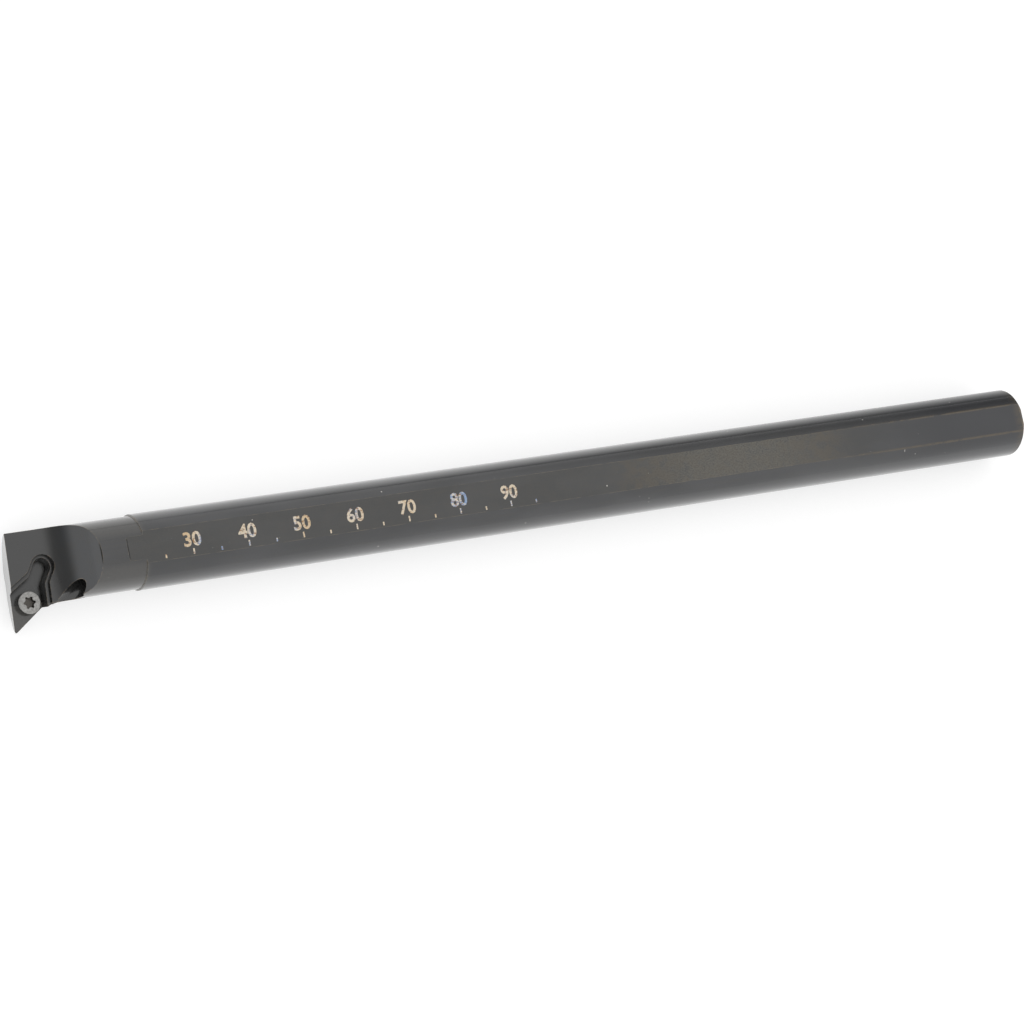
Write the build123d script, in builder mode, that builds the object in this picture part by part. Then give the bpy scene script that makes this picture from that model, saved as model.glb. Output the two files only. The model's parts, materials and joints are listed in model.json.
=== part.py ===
"""Through-coolant boring bar for a 55 degree, 11 degree clearance insert, and its clamp screw.

Millimetres. The origin is the centre of the rear end face. +X runs along the bar to the cutting
head, +Y points to the side that the cutting tip stands out on, and +Z leaves the rake face.
"""
import os
from math import acos, cos, degrees, radians, sin, tan

from build123d import *

# Shank: ground bar with two opposite flats that a tool block clamps on
body_length = 203.45  # rear end face to the front edge, on the centre line
shank_diameter = 12.7
flat_depth = 0.58  # each flat below the round of the shank
flat_setback = 18.35  # front edge back to the end wall of the flats
flat_corner = 0.45  # radius where a flat meets its end wall
rear_chamfer = 0.4

# Neck: turned down behind the head
neck_diameter = 12.2
neck_length = 21.45  # front edge back to the shoulder
shoulder_slope = 75.0  # shoulder cone to the axis, in degrees

# Head: rake face on the centre line, chip gullet behind it, belly under the seat
gullet_radius = 9.6
gullet_setback = 5.0  # front edge back to where the rake face starts to rise
belly_radius = 8.6  # arc from the neck to the outer end of the head, seen from the front
belly_bearing = 15.0  # where the belly leaves the neck, in degrees from straight down
head_reach = 10.2  # centre line to the end of the belly's arc, level with the seat
front_relief = 11.0  # front face and flank lean in towards the underside, in degrees
flank_bearing = 35.3  # straight part of the flank to the bar's axis, in degrees
flank_crossing = 4.2  # corner of the seat back to where the flank crosses the insert's edge line
flank_straight = 2.0  # straight part behind that crossing
hollow_radius = 3.5  # hollow curve behind the straight part, level with the rake face
fade_bearing = 1.0  # line behind the hollow to the bar's axis, in degrees
fade_length = 4.5
run_out_bearing = 45.0  # end of the belly under the neck, in degrees
tip_round = 0.25  # between the front face and the flank

# Insert pocket
insert_angle = 55.0
lead_angle = 3.0  # front edge beyond square to the axis
insert_thickness = 2.38  # seat below the rake face
insert_clearance = 11.0  # seat walls lean out as the insert's sides do
tip_offset = 9.85  # corner of the seat from the centre line
seat_width = 5.1  # each open edge of the seat to the wall opposite it
step_depth = 0.45  # step round the top of the pocket
step_width = 0.65
corner_step = 0.5  # width of the step round the corner relief
corner_cutter = 2.2  # diameter of the corner relief, at the seat
corner_reach = 11.4  # corner of the seat to the centre of the corner relief's round end
wall_round = 0.6  # where a seat wall turns into the corner relief

# Clamp screw and its hole
screw_along = 5.3  # corner of the seat to the screw, along the seat's diagonal
screw_aside = 0.3  # across the diagonal, towards the flank
thread_diameter = 2.44
thread_clearance = 0.05
head_diameter = 3.7
head_rim = 0.25
head_edge = 0.12  # round of the rim's top edge
head_angle = 60.0  # included angle of the cone under the head
head_gap = 0.03  # cone above the mouth of its hole
screw_length = 4.5
point_chamfer = 0.3
socket_size = 2.06  # across the lobes
socket_waist = 1.48  # across the flutes between the lobes
flute_radius = 0.42
lobe_round = 0.1
socket_depth = 0.9

# Coolant passage
coolant_diameter = 4.0
inlet_chamfer = 0.4
outlet_diameter = 2.7
outlet_setback = 17.85  # front edge back to where the outlet leaves the centre line
outlet_angle = 33.0  # outlet to the bar's axis, in degrees
outlet_height = 1.25  # outlet above the centre line
drill_angle = 118.0  # included angle of the drill's point

# Worked out from the sizes above
past = 2.0  # how far a cutting shape runs past the surface that it opens
clear_run = 2 * tip_offset  # length that takes a line clear of the head
shank_radius = shank_diameter / 2
neck_radius = neck_diameter / 2
flat_height = shank_radius - flat_depth
shoulder_x = body_length - neck_length
shoulder_run = (shank_radius - neck_radius) / tan(radians(shoulder_slope))
flat_end_x = body_length - flat_setback
gullet_x = body_length - gullet_setback
front_x = body_length + tip_offset * tan(radians(lead_angle)) + past
relief_tan = tan(radians(front_relief))
lead_tan = tan(radians(lead_angle))
seat_z = -insert_thickness
seat_tip = Vector(body_length + tip_offset * lead_tan + seat_z * relief_tan, tip_offset, seat_z)
half_angle = insert_angle / 2
insert_edge = Vector(-1, 0).rotate(Axis.Z, 90 - lead_angle - insert_angle)
diagonal = insert_edge.rotate(Axis.Z, half_angle)
flank_side = diagonal.rotate(Axis.Z, -90)
wall_lean = tan(radians(insert_clearance))
front_plane = Plane(origin=(body_length, 0, 0), z_dir=(1, -lead_tan, -relief_tan))


def seat_plane(z):
    """Level plane over the corner of the seat, with its x along the seat's diagonal."""
    return Plane(origin=(seat_tip.X, seat_tip.Y, z), x_dir=diagonal, z_dir=(0, 0, 1))


def pocket_outline(width, cutter_diameter):
    """Two walls that meet at the insert angle, open on the other sides, and the corner relief."""
    back = width / sin(radians(half_angle))
    run = width / sin(radians(insert_angle)) + 2 * past
    side = (back - run * cos(radians(half_angle)), run * sin(radians(half_angle)))
    open_end = -4 * past
    Polygon(
        (back, 0), side, (open_end, side[1]), (open_end, -side[1]), (side[0], -side[1]), align=None
    )
    meeting = back - cutter_diameter / 2 / tan(radians(half_angle))
    with Locations(((meeting - past + corner_reach) / 2, 0)):
        SlotCenterToCenter(corner_reach - meeting + past, cutter_diameter)
    corners = vertices().filter_by(
        lambda v: abs(v.X - meeting) < 0.01 and abs(abs(v.Y) - cutter_diameter / 2) < 0.01
    )
    fillet(corners, wall_round)


with BuildPart() as bar:
    # Lobe that carries the seat, as deep as the belly
    with BuildSketch(Plane.YZ.offset(front_x)):
        with BuildLine():
            belly_start = Vector(0, -neck_radius).rotate(Axis.Z, belly_bearing)
            belly = RadiusArc(belly_start, (head_reach, seat_z), -belly_radius)
            Polyline(belly @ 1, (head_reach + past, 0), (0, 0), belly @ 0)
        make_face()
    extrude(amount=shoulder_x - front_x)

    # Flank: straight beside the seat, then hollow, then a slow line that fades into the neck
    with BuildSketch(Plane.XY):
        with BuildLine():
            backwards = Vector(-1, 0).rotate(Axis.Z, flank_bearing)
            outwards = backwards.rotate(Axis.Z, -90)
            crossing = Vector(seat_tip.X, seat_tip.Y) + insert_edge * flank_crossing
            crossing += outwards * insert_thickness * relief_tan
            straight = Line(crossing - backwards * clear_run, crossing + backwards * flank_straight)
            hollow = JernArc(straight @ 1, straight % 1, hollow_radius, fade_bearing - flank_bearing)
            fade_end = hollow @ 1 + hollow % 1 * fade_length
            run_out = fade_end + Vector(-1, 0).rotate(Axis.Z, run_out_bearing) * shank_radius
            outside = straight @ 0
            Polyline(
                hollow @ 1,
                fade_end,
                run_out,
                (shoulder_x - past, run_out.Y),
                (shoulder_x - past, outside.Y),
                outside,
            )
        make_face()
    extrude(amount=-shank_radius, taper=-front_relief, mode=Mode.SUBTRACT)

    # Shank and neck
    with BuildSketch(Plane.XZ):
        Polygon(
            (0, 0),
            (0, shank_radius - rear_chamfer),
            (rear_chamfer, shank_radius),
            (shoulder_x - shoulder_run, shank_radius),
            (shoulder_x, neck_radius),
            (front_x, neck_radius),
            (front_x, 0),
            align=None,
        )
    revolve(axis=Axis.X)
    split(bisect_by=front_plane, keep=Keep.BOTTOM)
    fillet(edges().sort_by(Axis.Y)[-1], tip_round)

    # Two flats
    with BuildSketch(Plane.XZ):
        Polygon(
            (-past, flat_height),
            (flat_end_x, flat_height),
            (flat_end_x, shank_radius + past),
            (-past, shank_radius + past),
            align=None,
        )
        fillet(vertices().sort_by(Axis.X)[-2:].sort_by(Axis.Y)[0], flat_corner)
        mirror(about=Plane.XZ)
    extrude(amount=shank_radius, both=True, mode=Mode.SUBTRACT)

    # Rake face and the gullet that rises behind it
    with BuildSketch(Plane.XZ):
        with BuildLine():
            rise = degrees(acos(1 - neck_radius / gullet_radius))
            gullet = CenterArc((gullet_x, gullet_radius), gullet_radius, 270, -rise)
            top_z = neck_radius + past
            Polyline(gullet @ 0, (front_x, 0), (front_x, top_z), ((gullet @ 1).X, top_z), gullet @ 1)
        make_face()
    extrude(amount=tip_offset + past, both=True, mode=Mode.SUBTRACT)

    # Pocket: a step round its top, then walls that lean as the insert's sides do
    wall_height = insert_thickness - step_depth
    wall_spread = wall_height * wall_lean
    with BuildSketch(seat_plane(-step_depth)):
        pocket_outline(seat_width + wall_spread + step_width, corner_cutter + 2 * (wall_spread + corner_step))
    extrude(amount=step_depth + past, mode=Mode.SUBTRACT)
    with BuildSketch(seat_plane(-step_depth)):
        pocket_outline(seat_width + wall_spread, corner_cutter + 2 * wall_spread)
    extrude(amount=-wall_height, taper=insert_clearance, mode=Mode.SUBTRACT)

    # Hole for the clamp screw, right through the lobe
    screw_spot = seat_tip + diagonal * screw_along + flank_side * screw_aside
    with BuildSketch(Plane(origin=screw_spot)):
        Circle(thread_diameter / 2 + thread_clearance)
    extrude(amount=-shank_diameter, mode=Mode.SUBTRACT)

    # Coolant: a bore from the rear, and an outlet drilled back from the gullet to meet it
    junction = Vector(body_length - outlet_setback, 0, outlet_height)
    bore_radius = coolant_diameter / 2
    bore_end = junction.X + outlet_diameter / 2
    with BuildSketch(Plane.XZ):
        Polygon(
            (-past, 0),
            (-past, bore_radius + inlet_chamfer + past),
            (inlet_chamfer, bore_radius),
            (bore_end, bore_radius),
            (bore_end + bore_radius / tan(radians(drill_angle / 2)), 0),
            align=None,
        )
    revolve(axis=Axis.X, mode=Mode.SUBTRACT)
    aim = Vector(1, 0).rotate(Axis.Z, outlet_angle)
    with BuildSketch(Plane(origin=junction, z_dir=aim)):
        Circle(outlet_diameter / 2)
    extrude(amount=outlet_setback, mode=Mode.SUBTRACT)

with BuildPart() as clamp_screw:
    head_radius = head_diameter / 2
    shaft_radius = thread_diameter / 2
    cone_tan = tan(radians(head_angle / 2))
    cone_height = (head_radius - shaft_radius) / cone_tan
    mouth_radius = shaft_radius + thread_clearance
    head_height = head_rim + (head_radius - mouth_radius) / cone_tan + head_gap
    screw_top = screw_spot + Vector(0, 0, head_height)
    with BuildSketch(Plane(origin=screw_top, x_dir=(1, 0, 0), z_dir=(0, -1, 0))):
        with BuildLine():
            Polyline(
                (0, 0),
                (head_radius, 0),
                (head_radius, -head_rim),
                (shaft_radius, -head_rim - cone_height),
                (shaft_radius, point_chamfer - screw_length),
                (shaft_radius - point_chamfer, -screw_length),
                (0, -screw_length),
                close=True,
            )
        make_face()
        rim = vertices().filter_by(lambda v: abs(v.X - head_radius) < 0.01 and abs(v.Y) < 0.01)
        fillet(rim, head_edge)
    revolve(axis=Axis(screw_top, (0, 0, 1)))
    with BuildSketch(Plane(origin=screw_top)):
        Circle(socket_size / 2)
        with PolarLocations(socket_waist / 2 + flute_radius, 6, start_angle=30):
            Circle(flute_radius, mode=Mode.SUBTRACT)
        fillet(vertices(), lobe_round)
    extrude(amount=-socket_depth, mode=Mode.SUBTRACT)

os.makedirs("parts", exist_ok=True)
bar.part.label = "bar"
export_step(bar.part, "parts/bar.step")
clamp_screw.part.label = "clamp_screw"
export_step(clamp_screw.part, "parts/clamp_screw.step")
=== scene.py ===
"""Looks of the boring bar: oiled black oxide, depth marks and a bright threaded clamp screw."""
import json
from math import cos, pi, radians, sin, sqrt, tan, tau

import bpy
from mathutils import Matrix, Vector


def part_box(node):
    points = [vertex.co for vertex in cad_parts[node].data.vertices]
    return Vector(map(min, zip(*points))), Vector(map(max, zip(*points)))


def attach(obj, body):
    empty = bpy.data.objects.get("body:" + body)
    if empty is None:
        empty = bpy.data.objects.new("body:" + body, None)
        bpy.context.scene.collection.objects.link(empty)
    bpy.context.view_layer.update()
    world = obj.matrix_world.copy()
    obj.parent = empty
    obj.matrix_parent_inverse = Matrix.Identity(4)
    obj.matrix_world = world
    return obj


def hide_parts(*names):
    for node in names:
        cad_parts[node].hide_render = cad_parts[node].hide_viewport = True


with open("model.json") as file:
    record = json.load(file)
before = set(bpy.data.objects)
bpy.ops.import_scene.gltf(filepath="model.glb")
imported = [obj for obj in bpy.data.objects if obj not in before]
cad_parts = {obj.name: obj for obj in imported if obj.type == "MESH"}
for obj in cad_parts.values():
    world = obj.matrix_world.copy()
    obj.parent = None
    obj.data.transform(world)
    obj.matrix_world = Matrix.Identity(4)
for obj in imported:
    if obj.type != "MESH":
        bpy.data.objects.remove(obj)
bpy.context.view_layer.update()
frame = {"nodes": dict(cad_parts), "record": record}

MM = 0.001
PHOTO_PIXELS = 1024
FLAT_HALF_WIDTH = 2.65  # mm, from the bar's centre line to the edge of a flat
NECK_RADIUS = 6.1  # mm
SHANK_RADIUS = 6.35  # mm

mounts = {mount["name"]: mount for mount in frame["record"]["mounts"]}
front_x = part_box("bar")[1].x
floor_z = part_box("bar")[0].z
flat_z = mounts["clamp_flat"]["pos_m"][2]
shank_wall = mounts["shank"]
shoulder_x = shank_wall["pos_m"][0] + shank_wall["dims"]["length_mm"] * MM / 2


# ---------------------------------------------------------------- material nodes
class Nodes:
    """Adds nodes to a tree. A value is a number, a colour or another node's output."""

    def __init__(self, tree):
        self.tree = tree
        tree.nodes.clear()

    def add(self, kind, values=(), **settings):
        node = self.tree.nodes.new("ShaderNode" + kind)
        for name, setting in settings.items():
            setattr(node, name, setting)
        for socket, value in dict(values).items():
            self.feed(node.inputs[socket], value)
        return node

    def feed(self, socket, value):
        if isinstance(value, bpy.types.NodeSocket):
            self.tree.links.new(value, socket)
        else:
            socket.default_value = value

    def math(self, operation, *values):
        node = self.add("Math", operation=operation)
        for socket, value in zip(node.inputs, values):
            self.feed(socket, value)
        return node.outputs[0]

    def product(self, first, *others):
        """All the values multiplied together."""
        for other in others:
            first = self.math("MULTIPLY", first, other)
        return first

    def vector(self, operation, *values):
        node = self.add("VectorMath", operation=operation)
        for socket, value in zip(node.inputs, values):
            self.feed(socket, value)
        return node.outputs["Value" if operation in ("DOT_PRODUCT", "DISTANCE", "LENGTH") else "Vector"]

    def step(self, value, low, high):
        """0 below low, 1 above high, smooth between; falls if low is above high."""
        rising = low < high
        node = self.add(
            "MapRange",
            {
                "Value": value,
                "From Min": min(low, high),
                "From Max": max(low, high),
                "To Min": 0.0 if rising else 1.0,
                "To Max": 1.0 if rising else 0.0,
            },
            interpolation_type="SMOOTHSTEP",
        )
        return node.outputs["Result"]

    def noise(self, place, scale, detail=2.0, roughness=0.5):
        """Noise of about 0.5 on average, with scale given for each direction."""
        stretched = self.vector("MULTIPLY", place, scale)
        node = self.add("TexNoise", {"Vector": stretched, "Detail": detail, "Roughness": roughness})
        node.inputs["Scale"].default_value = 1.0
        return node.outputs["Fac"]

    def blend(self, share, first, second):
        node = self.add("Mix", data_type="RGBA")
        self.feed(node.inputs["Factor"], share)
        self.feed(node.inputs[6], first)
        self.feed(node.inputs[7], second)
        return node.outputs[2]


def new_material(name):
    material = bpy.data.materials.new(name)
    material.use_nodes = True
    return material, Nodes(material.node_tree)


def place_in_mm(nodes):
    """The point on the object, in the row frame, in millimetres."""
    coordinates = nodes.add("TexCoord")
    return nodes.vector("MULTIPLY", coordinates.outputs["Object"], (1 / MM,) * 3)


def edge_wear(nodes, radius, contrast):
    """(rounded normal, share that is worn) near sharp edges."""
    bevel_rays = 6
    rounded = nodes.add("Bevel", {"Radius": radius * MM}, samples=bevel_rays).outputs["Normal"]
    face = nodes.add("NewGeometry").outputs["Normal"]
    agreement = nodes.vector("DOT_PRODUCT", rounded, face)
    return rounded, nodes.step(agreement, 1.0, 1.0 - contrast)


def black_oxide():
    material, nodes = new_material("black_oxide")
    place = place_in_mm(nodes)
    along, across, up = nodes.add("SeparateXYZ", {"Vector": place}).outputs
    height = nodes.math("ABSOLUTE", up)
    aside = nodes.math("ABSOLUTE", across)
    radial = nodes.vector("LENGTH", nodes.vector("MULTIPLY", place, (0, 1, 1)))
    flat_height, shoulder = flat_z / MM, shoulder_x / MM
    on_flat = nodes.math("COMPARE", height, flat_height, 0.01)

    # Oxide that is slightly uneven: broad clouds, streaks along the bar and fine grain
    clouds = nodes.noise(place, (0.07, 0.2, 0.2), detail=3.0)
    streaks = nodes.noise(place, (0.25, 3.0, 3.0), detail=4.0)
    grain = nodes.noise(place, (9.0, 9.0, 9.0), detail=2.0)
    blotches = nodes.noise(place, (0.5, 0.5, 0.5), detail=4.0, roughness=0.6)
    dark, pale = (0.036, 0.037, 0.039, 1), (0.048, 0.049, 0.052, 1)
    tone = nodes.blend(nodes.step(clouds, 0.35, 0.65), dark, pale)
    streaked = nodes.product(nodes.step(streaks, 0.45, 0.75), 0.35)
    tone = nodes.blend(streaked, tone, (0.050, 0.046, 0.038, 1))
    grained = nodes.product(nodes.step(grain, 0.5, 0.8), 0.3)
    tone = nodes.blend(grained, tone, (0.070, 0.069, 0.065, 1))

    # Fuller black towards the rear
    rear_share = nodes.product(nodes.step(along, 42.0, 14.0), 0.75)
    tone = nodes.blend(rear_share, tone, (0.025, 0.026, 0.030, 1))

    # The turned neck is a little lighter and warmer, mostly on its sides: its top is left darker, a
    # painted dark reflection; the milled gullet is bluish
    past_shoulder = nodes.step(along, shoulder - 1.0, shoulder + 0.3)
    below_flat = nodes.step(height, flat_height - 0.02, flat_height - 0.06)
    turned = nodes.product(past_shoulder, nodes.step(radial, NECK_RADIUS - 0.08, NECK_RADIUS - 0.02))
    turned = nodes.product(turned, nodes.math("SUBTRACT", 1.0, on_flat))
    milled = nodes.product(below_flat, nodes.step(radial, NECK_RADIUS - 0.02, NECK_RADIUS - 0.08))
    gullet = nodes.product(milled, nodes.step(up, 0.3, 1.5))
    neck_dark, neck_pale = (0.056, 0.054, 0.051, 1), (0.076, 0.074, 0.070, 1)
    neck_tone = nodes.blend(nodes.step(grain, 0.3, 0.7), neck_dark, neck_pale)
    # Painted reflection: the neck's lighter tone is weakened along its top, so the top stays darker
    away_from_painted_dark_top = nodes.step(aside, 1.8, 3.2)
    neck_tone_and_painted_top_reflection = nodes.product(turned, nodes.math("MULTIPLY_ADD", away_from_painted_dark_top, 0.75, 0.15))
    tone = nodes.blend(neck_tone_and_painted_top_reflection, tone, neck_tone)
    shoulder_face = nodes.product(
        nodes.step(radial, NECK_RADIUS + 0.01, NECK_RADIUS + 0.04),
        nodes.step(radial, SHANK_RADIUS - 0.005, SHANK_RADIUS - 0.02),
        nodes.step(along, shoulder - 0.1, shoulder - 0.05),
        nodes.step(along, shoulder + 0.3, shoulder + 0.2),
    )
    tone = nodes.blend(shoulder_face, tone, (0.13, 0.125, 0.115, 1))
    tone = nodes.blend(nodes.product(milled, 0.8), tone, (0.042, 0.042, 0.041, 1))
    blue_share = nodes.product(gullet, nodes.step(blotches, 0.3, 0.6))
    tone = nodes.blend(blue_share, tone, (0.041, 0.043, 0.046, 1))

    # Flats: warmer than the round, with a rubbed patch where a tool block has held the bar
    flat_dark, flat_pale = (0.042, 0.041, 0.035, 1), (0.050, 0.046, 0.037, 1)
    flat_tone = nodes.blend(nodes.step(blotches, 0.4, 0.6), flat_dark, flat_pale)
    warm = nodes.product(on_flat, 0.4, nodes.step(along, 25.0, 50.0))
    tone = nodes.blend(warm, tone, flat_tone)
    patch = nodes.product(nodes.step(along, 38.0, 62.0), nodes.step(along, 96.0, 70.0))
    brown = nodes.product(nodes.step(patch, 0.0, 0.3), nodes.step(blotches, 0.35, 0.6))
    tone = nodes.blend(nodes.product(brown, on_flat, 0.6), tone, (0.068, 0.053, 0.034, 1))
    scuffs = nodes.noise(place, (3.0, 5.0, 5.0), detail=4.0, roughness=0.65)
    rubbed = nodes.product(patch, on_flat, 0.9, nodes.step(scuffs, 0.32, 0.62))
    tone = nodes.blend(rubbed, tone, (0.098, 0.092, 0.076, 1))

    # Edges where the oxide has gone, in places
    rounded, edge = edge_wear(nodes, 0.12, 0.028)
    broken = nodes.noise(place, (0.6, 2.0, 2.0), detail=4.0)
    worn = nodes.product(edge, nodes.step(broken, 0.36, 0.60))
    tone = nodes.blend(nodes.product(worn, 0.8), tone, (0.21, 0.165, 0.11, 1))

    # Browned edges of the flats and browned end, towards the rear; the rim of the rear chamfer gets a
    # lighter band, a painted highlight
    edge_gap = nodes.math("ABSOLUTE", nodes.math("SUBTRACT", aside, FLAT_HALF_WIDTH))
    browned_edge = nodes.product(
        nodes.step(edge_gap, 0.35, 0.1), nodes.step(along, 60.0, 15.0), nodes.step(height, 5.6, 5.7)
    )
    browned_end = nodes.product(nodes.step(along, 2.4, 0.6), 0.7)
    browned = nodes.math("MAXIMUM", browned_edge, browned_end)
    browned = nodes.product(browned, nodes.step(broken, 0.30, 0.55))
    tone = nodes.blend(nodes.product(browned, 0.75), tone, (0.085, 0.066, 0.042, 1))
    # Painted highlight: a lighter brown band on the rim of the rear chamfer
    rear_rim_painted_highlight = nodes.product(nodes.step(along, 0.5, 0.3), nodes.step(radial, 5.7, 5.9))
    tone = nodes.blend(nodes.product(rear_rim_painted_highlight, 0.7), tone, (0.16, 0.125, 0.085, 1))

    # A few bright specks
    specks = nodes.noise(place, (1.9, 1.9, 1.9), detail=0.0)
    tone = nodes.blend(nodes.step(specks, 0.880, 0.895), tone, (0.45, 0.43, 0.40, 1))

    # Painted shade: the head's inner corners, found by ambient occlusion, and the end of each flat are
    # darkened in the colour, with a thinner coat there
    corner_reach, corner_rays = 0.8 * MM, 8
    corners = nodes.add(
        "AmbientOcclusion", {"Distance": corner_reach}, samples=corner_rays, only_local=True
    )
    # Painted shade in the head's inner corners, where the ambient occlusion is low
    painted_corner_shade = nodes.product(milled, nodes.step(corners.outputs["AO"], 0.95, 0.50))
    # Painted shade at the end of each flat, where it meets the neck
    flat_end_painted_shade = nodes.product(
        past_shoulder,
        nodes.step(height, flat_height + 0.01, flat_height + 0.03),
        nodes.step(radial, NECK_RADIUS - 0.01, NECK_RADIUS - 0.03),
    )
    painted_corner_shade = nodes.math("MAXIMUM", painted_corner_shade, flat_end_painted_shade)
    tone = nodes.blend(painted_corner_shade, tone, (0.010, 0.010, 0.009, 1))

    # Turned neck and ground shank: fine rings round the axis
    rings = nodes.noise(place, (7.0, 0.15, 0.15), detail=3.0)
    ring_share = nodes.math("ADD", nodes.product(turned, 0.9), 0.5)
    relief = nodes.math("ADD", nodes.product(rings, ring_share), nodes.product(grain, 0.4))
    bump = nodes.add(
        "Bump", {"Strength": 0.25, "Distance": 0.004 * MM, "Height": relief, "Normal": rounded}
    )
    roughness = nodes.math("ADD", nodes.product(clouds, 0.08), 0.20)
    coat = nodes.math("SUBTRACT", 1.0, nodes.product(painted_corner_shade, 0.7))
    shader = nodes.add(
        "BsdfPrincipled",
        {"Base Color": tone, "Roughness": roughness, "Normal": bump.outputs[0], "Coat Weight": coat},
    )
    shader.inputs["Metallic"].default_value = 0.4
    shader.inputs["Specular IOR Level"].default_value = 0.3
    shader.inputs["Coat Roughness"].default_value = 0.12
    nodes.add("OutputMaterial", {"Surface": shader.outputs[0]})
    return material


def bright_steel():
    material, nodes = new_material("bright_steel")
    place = place_in_mm(nodes)
    mottle = nodes.noise(place, (4.0, 4.0, 4.0), detail=4.0, roughness=0.6)
    tone = nodes.blend(nodes.step(mottle, 0.3, 0.7), (0.26, 0.255, 0.245, 1), (0.42, 0.415, 0.40, 1))
    rounded, edge = edge_wear(nodes, 0.04, 0.2)
    tone = nodes.blend(nodes.product(edge, 0.5), tone, (0.62, 0.61, 0.59, 1))

    # Painted shade inside the socket: the colour is darkened below the head's top
    low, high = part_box("clamp_screw")
    axis = (low + high) / 2 / MM
    aside = nodes.vector("MULTIPLY", nodes.vector("SUBTRACT", place, tuple(axis)), (1, 1, 0))
    within = nodes.step(nodes.vector("LENGTH", aside), 1.12, 1.04)
    up = nodes.add("SeparateXYZ", {"Vector": place}).outputs["Z"]
    depth = nodes.math("SUBTRACT", high.z / MM, up)
    socket_painted_shade = nodes.product(within, nodes.step(depth, 0.03, 0.35), 0.9)
    tone = nodes.blend(socket_painted_shade, tone, (0.10, 0.09, 0.08, 1))
    bump = nodes.add(
        "Bump", {"Strength": 0.3, "Distance": 0.01 * MM, "Height": mottle, "Normal": rounded}
    )
    shader = nodes.add(
        "BsdfPrincipled", {"Base Color": tone, "Metallic": 1.0, "Normal": bump.outputs[0]}
    )
    shader.inputs["Roughness"].default_value = 0.42
    nodes.add("OutputMaterial", {"Surface": shader.outputs[0]})
    return material


def tempered_marks():
    """Marks with the straw and blue tints that heat leaves on steel."""
    material, nodes = new_material("tempered_marks")
    place = place_in_mm(nodes)
    zones = nodes.noise(place, (0.11, 0.03, 0.0), detail=2.0)
    flecks = nodes.noise(place, (2.2, 3.5, 3.5), detail=3.0)
    tint = nodes.math("ADD", nodes.product(zones, 0.7), nodes.product(flecks, 0.3))
    straw, pale, blue = (0.62, 0.46, 0.28, 1), (0.70, 0.62, 0.50, 1), (0.26, 0.36, 0.54, 1)
    tone = nodes.blend(nodes.step(tint, 0.38, 0.50), straw, pale)
    tone = nodes.blend(nodes.step(tint, 0.50, 0.54), tone, blue)
    tone = nodes.blend(nodes.step(flecks, 0.52, 0.64), tone, (0.36, 0.22, 0.12, 1))
    shader = nodes.add("BsdfPrincipled", {"Base Color": tone, "Metallic": 1.0})
    shader.inputs["Roughness"].default_value = 0.45
    nodes.add("OutputMaterial", {"Surface": shader.outputs[0]})
    return material


def dress(obj, material):
    obj.data.materials.clear()
    obj.data.materials.append(material)


# ---------------------------------------------------------------- pieces
def new_mesh(name, points, faces, smooth=True):
    mesh = bpy.data.meshes.new(name)
    mesh.from_pydata(points, [], faces)
    mesh.validate()
    obj = bpy.data.objects.new(name, mesh)
    bpy.context.scene.collection.objects.link(obj)
    if smooth:
        mesh.shade_smooth()
    return obj


def number_mesh(text, height, middle):
    """Flat bold numerals, read with the head to the left, around a point of the flat."""
    capital_share = 0.73  # height of a numeral over the font's size
    boldness, thickness = 0.08 * MM, 0.01 * MM
    curve = bpy.data.curves.new("number", "FONT")
    curve.body = text
    curve.size = height / capital_share
    curve.align_x = "CENTER"
    curve.offset = boldness
    curve.extrude = thickness
    curve.resolution_u = 3
    obj = bpy.data.objects.new("number", curve)
    bpy.context.scene.collection.objects.link(obj)
    bpy.context.view_layer.update()
    mesh = bpy.data.meshes.new_from_object(obj.evaluated_get(bpy.context.evaluated_depsgraph_get()))
    bpy.data.objects.remove(obj)
    bpy.data.curves.remove(curve)
    mesh.transform(Matrix.Translation((0, -height / 2, 0)))
    mesh.transform(Matrix.Translation(middle) @ Matrix.Rotation(pi, 4, "Z"))
    points = [tuple(vertex.co) for vertex in mesh.vertices]
    faces = [tuple(polygon.vertices) for polygon in mesh.polygons]
    bpy.data.meshes.remove(mesh)
    return points, faces


def bar_mesh(length, width, middle):
    """A thin rectangle that runs across the flat."""
    thickness = 0.01 * MM
    x, y, z = width / 2, length / 2, thickness
    corners = [(i, j, k) for k in (-z, z) for i, j in ((-x, -y), (x, -y), (x, y), (-x, y))]
    points = [tuple(Vector(corner) + Vector(middle)) for corner in corners]
    sides = [(k, (k + 1) % 4, (k + 1) % 4 + 4, k + 4) for k in range(4)]
    return points, [(3, 2, 1, 0), (4, 5, 6, 7), *sides]


def depth_marks():
    """A depth scale on the upper flat: a line every 5 mm, and the distance to the front each 10."""
    numeral_height = 2.4 * MM
    numeral_middle = -0.25 * MM
    line_width = 0.28 * MM
    line_top = 2.35 * MM
    long_line, short_line = 0.95 * MM, 0.6 * MM
    points, faces = [], []

    def join(more_points, more_faces):
        first = len(points)
        points.extend(more_points)
        faces.extend(tuple(first + index for index in face) for face in more_faces)

    for depth in range(25, 96, 5):
        x = front_x - depth * MM
        numbered = depth % 10 == 0
        length = long_line if numbered else short_line
        join(*bar_mesh(length, line_width, (x, line_top - length / 2, flat_z)))
        if numbered:
            join(*number_mesh(str(depth), numeral_height, (x, numeral_middle, flat_z)))
    obj = new_mesh("depth_marks", points, faces, smooth=False)
    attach(obj, "bar")
    return obj


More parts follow.
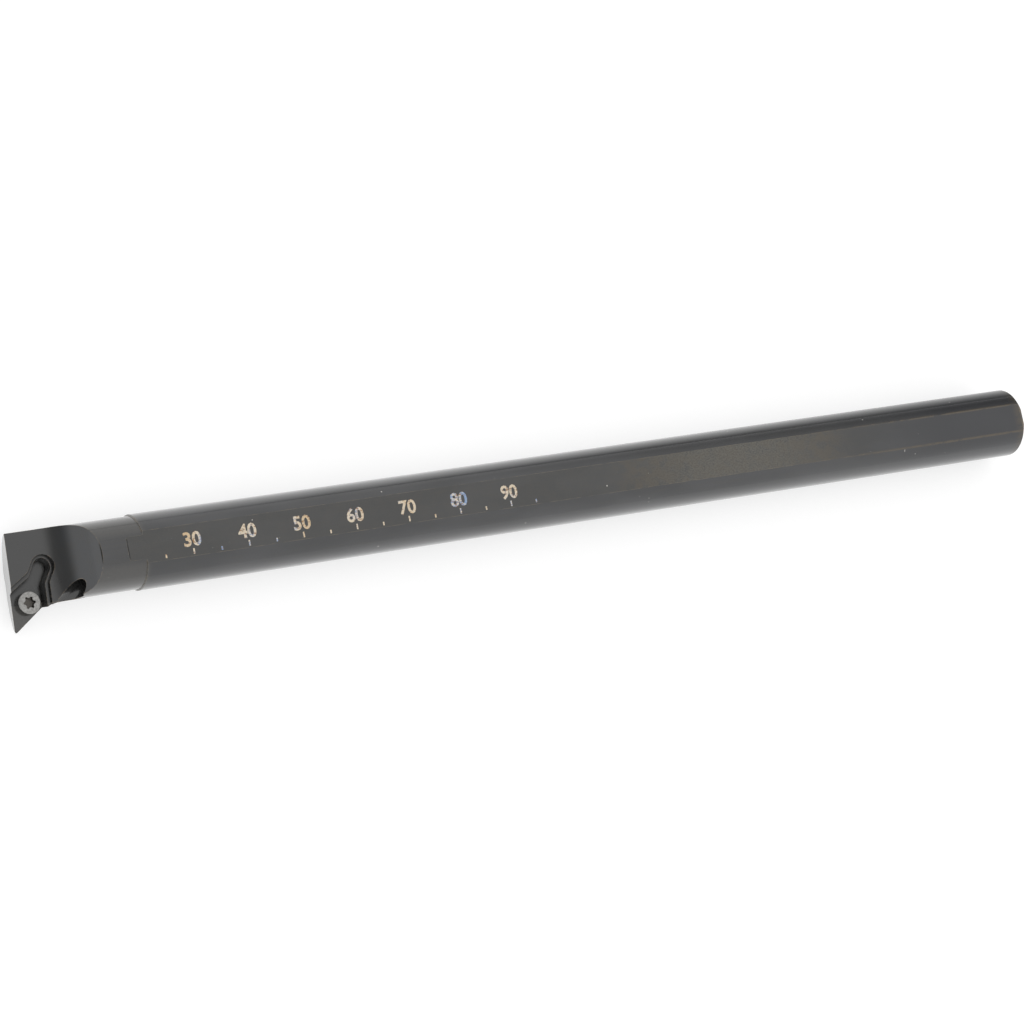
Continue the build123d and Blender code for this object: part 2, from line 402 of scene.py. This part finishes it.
def threaded_screw():
    """The clamp screw with its thread, lofted from rings round its axis."""
    low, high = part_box("clamp_screw")
    centre_x, centre_y = (low.x + high.x) / 2, (low.y + high.y) / 2
    head_radius = (high.x - low.x) / 2
    major_radius, minor_radius = 1.22 * MM, 0.99 * MM
    pitch = 0.45 * MM
    head_rim, head_edge = 0.25 * MM, 0.12 * MM
    half_cone = radians(30)
    cone_height = (head_radius - major_radius) / tan(half_cone)
    socket_radius, socket_waist, flute_radius = 1.03 * MM, 0.74 * MM, 0.42 * MM
    socket_depth, socket_point, socket_chamfer = 0.9 * MM, 0.12 * MM, 0.05 * MM
    neck_under_head = 0.12 * MM
    thread_top = high.z - head_rim - cone_height - neck_under_head
    tip_chamfer = 0.3 * MM
    root_share, flank_share = 0.2, 0.62  # of the pitch, level at the root and sloping
    steps_per_turn, steps_per_pitch = 96, 10

    def lobed(angle):
        """Radius of the six-lobe socket; a lobe points along -X."""
        aside = (angle + pi / 6) % (pi / 3) - pi / 6
        aside = pi / 6 - abs(aside)
        reach = socket_waist + flute_radius
        inside = flute_radius**2 - (reach * sin(aside)) ** 2
        if inside <= 0:
            return socket_radius
        return min(socket_radius, reach * cos(aside) - sqrt(inside))

    def thread(angle, z):
        turn = (z / pitch + angle / tau) % 1.0
        height = min(1.0, max(0.0, (abs(2 * turn - 1) - root_share) / flank_share))
        height = max(height, min(1.0, (z - thread_top) / pitch + 1.0))
        radius = minor_radius + (major_radius - minor_radius) * height
        return min(radius, major_radius - tip_chamfer + max(0.0, z - low.z))

    rings = []  # each a function from angle to (radius, height)
    for share in (0.3, 0.65, 1.0):
        drop = socket_depth + socket_point * (1 - share)
        rings.append(lambda a, s=share, d=drop: (lobed(a) * s, high.z - d))
    rings.append(lambda a: (lobed(a), high.z - socket_chamfer))
    rings.append(lambda a: (lobed(a) + socket_chamfer, high.z))
    rings.append(lambda a: (socket_radius + 2 * socket_chamfer, high.z))
    for bend in range(0, 91, 15):
        turn = radians(bend)
        inset, drop = head_edge * (1 - sin(turn)), head_edge * (1 - cos(turn))
        rings.append(lambda a, i=inset, d=drop: (head_radius - i, high.z - d))
    rings.append(lambda a: (head_radius, high.z - head_rim))
    rings.append(lambda a: (major_radius, high.z - head_rim - cone_height))
    count = round((thread_top - low.z) / (pitch / steps_per_pitch))
    for k in range(count + 1):
        z = thread_top + (low.z - thread_top) * k / count
        rings.append(lambda a, z=z: (thread(a, z), z))
    rings.append(lambda a: ((major_radius - tip_chamfer) * 0.5, low.z))

    points = [(centre_x, centre_y, high.z - socket_depth - socket_point)]
    for ring in rings:
        for k in range(steps_per_turn):
            angle = tau * k / steps_per_turn
            radius, z = ring(angle)
            points.append((centre_x + radius * cos(angle), centre_y + radius * sin(angle), z))
    points.append((centre_x, centre_y, low.z))
    last = len(points) - 1
    faces = []
    for k in range(steps_per_turn):
        after = (k + 1) % steps_per_turn
        faces.append((0, 1 + k, 1 + after))
        for ring in range(len(rings) - 1):
            inner = 1 + ring * steps_per_turn
            outer = inner + steps_per_turn
            faces.append((inner + k, outer + k, outer + after, inner + after))
        tail = 1 + (len(rings) - 1) * steps_per_turn
        faces.append((last, tail + after, tail + k))
    obj = new_mesh("threaded_screw", points, faces)
    obj.data.set_sharp_from_angle(angle=radians(35))
    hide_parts("clamp_screw")
    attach(obj, "clamp_screw")
    return obj


dress(frame["nodes"]["bar"], black_oxide())
dress(frame["nodes"]["clamp_screw"], bright_steel())
dress(depth_marks(), tempered_marks())
dress(threaded_screw(), frame["nodes"]["clamp_screw"].data.materials[0])


# ---------------------------------------------------------------- studio
def white_floor():
    material, nodes = new_material("white_floor")
    rays = nodes.add("LightPath").outputs
    seen = nodes.math("MAXIMUM", rays["Is Camera Ray"], rays["Is Glossy Ray"])
    seen = nodes.math("MAXIMUM", seen, rays["Is Transmission Ray"])
    paper = nodes.add("BsdfDiffuse")
    paper.inputs["Color"].default_value = (0.5, 0.5, 0.5, 1)
    glow = nodes.add("Emission", {"Strength": nodes.product(seen, 0.6)})
    both = nodes.add("AddShader")
    nodes.feed(both.inputs[0], paper.outputs[0])
    nodes.feed(both.inputs[1], glow.outputs[0])
    nodes.add("OutputMaterial", {"Surface": both.outputs[0]})
    half = 3.0
    corners = ((-half, -half), (half, -half), (half, half), (-half, half))
    floor = new_mesh("floor", [(x, y, floor_z) for x, y in corners], [(0, 1, 2, 3)], smooth=False)
    floor.data.materials.append(material)


def dark_flag(name, direction, subject, distance, width, height, density, core=0.2):
    """A soft-edged dark card that keeps part of the white room out of the metal's reflections."""
    material, nodes = new_material(name)
    place = nodes.vector("MULTIPLY", nodes.add("TexCoord").outputs["Object"], (2 / width, 2 / height, 0))
    cover = nodes.product(nodes.step(nodes.vector("LENGTH", place), 1.0, core), density)
    cloth = nodes.add("BsdfDiffuse")
    cloth.inputs["Color"].default_value = (0.01, 0.01, 0.01, 1)
    card = nodes.add("MixShader", {"Fac": cover})
    nodes.feed(card.inputs[1], nodes.add("BsdfTransparent").outputs[0])
    nodes.feed(card.inputs[2], cloth.outputs[0])
    nodes.add("OutputMaterial", {"Surface": card.outputs[0]})
    x, y = width / 2, height / 2
    corners = [(-x, -y, 0), (x, -y, 0), (x, y, 0), (-x, y, 0)]
    flag = new_mesh(name, corners, [(0, 1, 2, 3)], smooth=False)
    flag.data.materials.append(material)
    flag.location = Vector(subject) + Vector(direction).normalized() * distance
    flag.rotation_euler = (-Vector(direction)).to_track_quat("Z", "Y").to_euler()
    flag.visible_camera = False
    flag.visible_diffuse = False
    flag.visible_shadow = False


def white_room():
    world = bpy.data.worlds.new("white_room")
    bpy.context.scene.world = world
    world.use_nodes = True
    background = world.node_tree.nodes["Background"]
    background.inputs["Color"].default_value = (1, 1, 1, 1)
    background.inputs["Strength"].default_value = 1.0


def photo_camera():
    """Camera at the photograph's place, turned and framed as it was."""
    place = Vector((0.36507, 0.05125, 0.45978))
    target = Vector((0.11070, 0.00313, 0.0))
    forward = (target - place).normalized()
    right = Vector((-0.86613, 0.19947, 0.45829))
    right = (right - forward * right.dot(forward)).normalized()
    up = right.cross(forward)
    focal_pixels = 3004.0
    centre_row = 514.0
    camera = bpy.data.cameras.new("camera")
    camera.sensor_fit = "HORIZONTAL"
    camera.sensor_width = 36.0
    camera.lens = camera.sensor_width * focal_pixels / PHOTO_PIXELS
    camera.shift_y = (centre_row - PHOTO_PIXELS / 2) / PHOTO_PIXELS
    camera.clip_start = 0.01
    obj = bpy.data.objects.new("camera", camera)
    axes = Matrix((right, up, -forward)).transposed()
    obj.matrix_world = Matrix.Translation(place) @ axes.to_4x4()
    bpy.context.scene.collection.objects.link(obj)
    bpy.context.scene.camera = obj


white_room()
white_floor()
rear, head, beside = (0, 0, 0), (front_x, 0, 0), (-0.10, -0.17, 0)
above_floor = 0.0005
low_drop = -floor_z - above_floor
dark_flag("gullet_flag", (0.46, -0.10, 0.88), head, 0.9, 1.06, 1.06, density=0.85)
dark_flag("side_flag", (-0.74, -0.64, 0.16), rear, 0.9, 1.2, 0.82, density=0.86)
dark_flag("low_flag", (0, 0, -1), beside, low_drop, 0.66, 0.46, density=0.85, core=0.45)
photo_camera()
bpy.context.scene.view_settings.view_transform = "Standard"
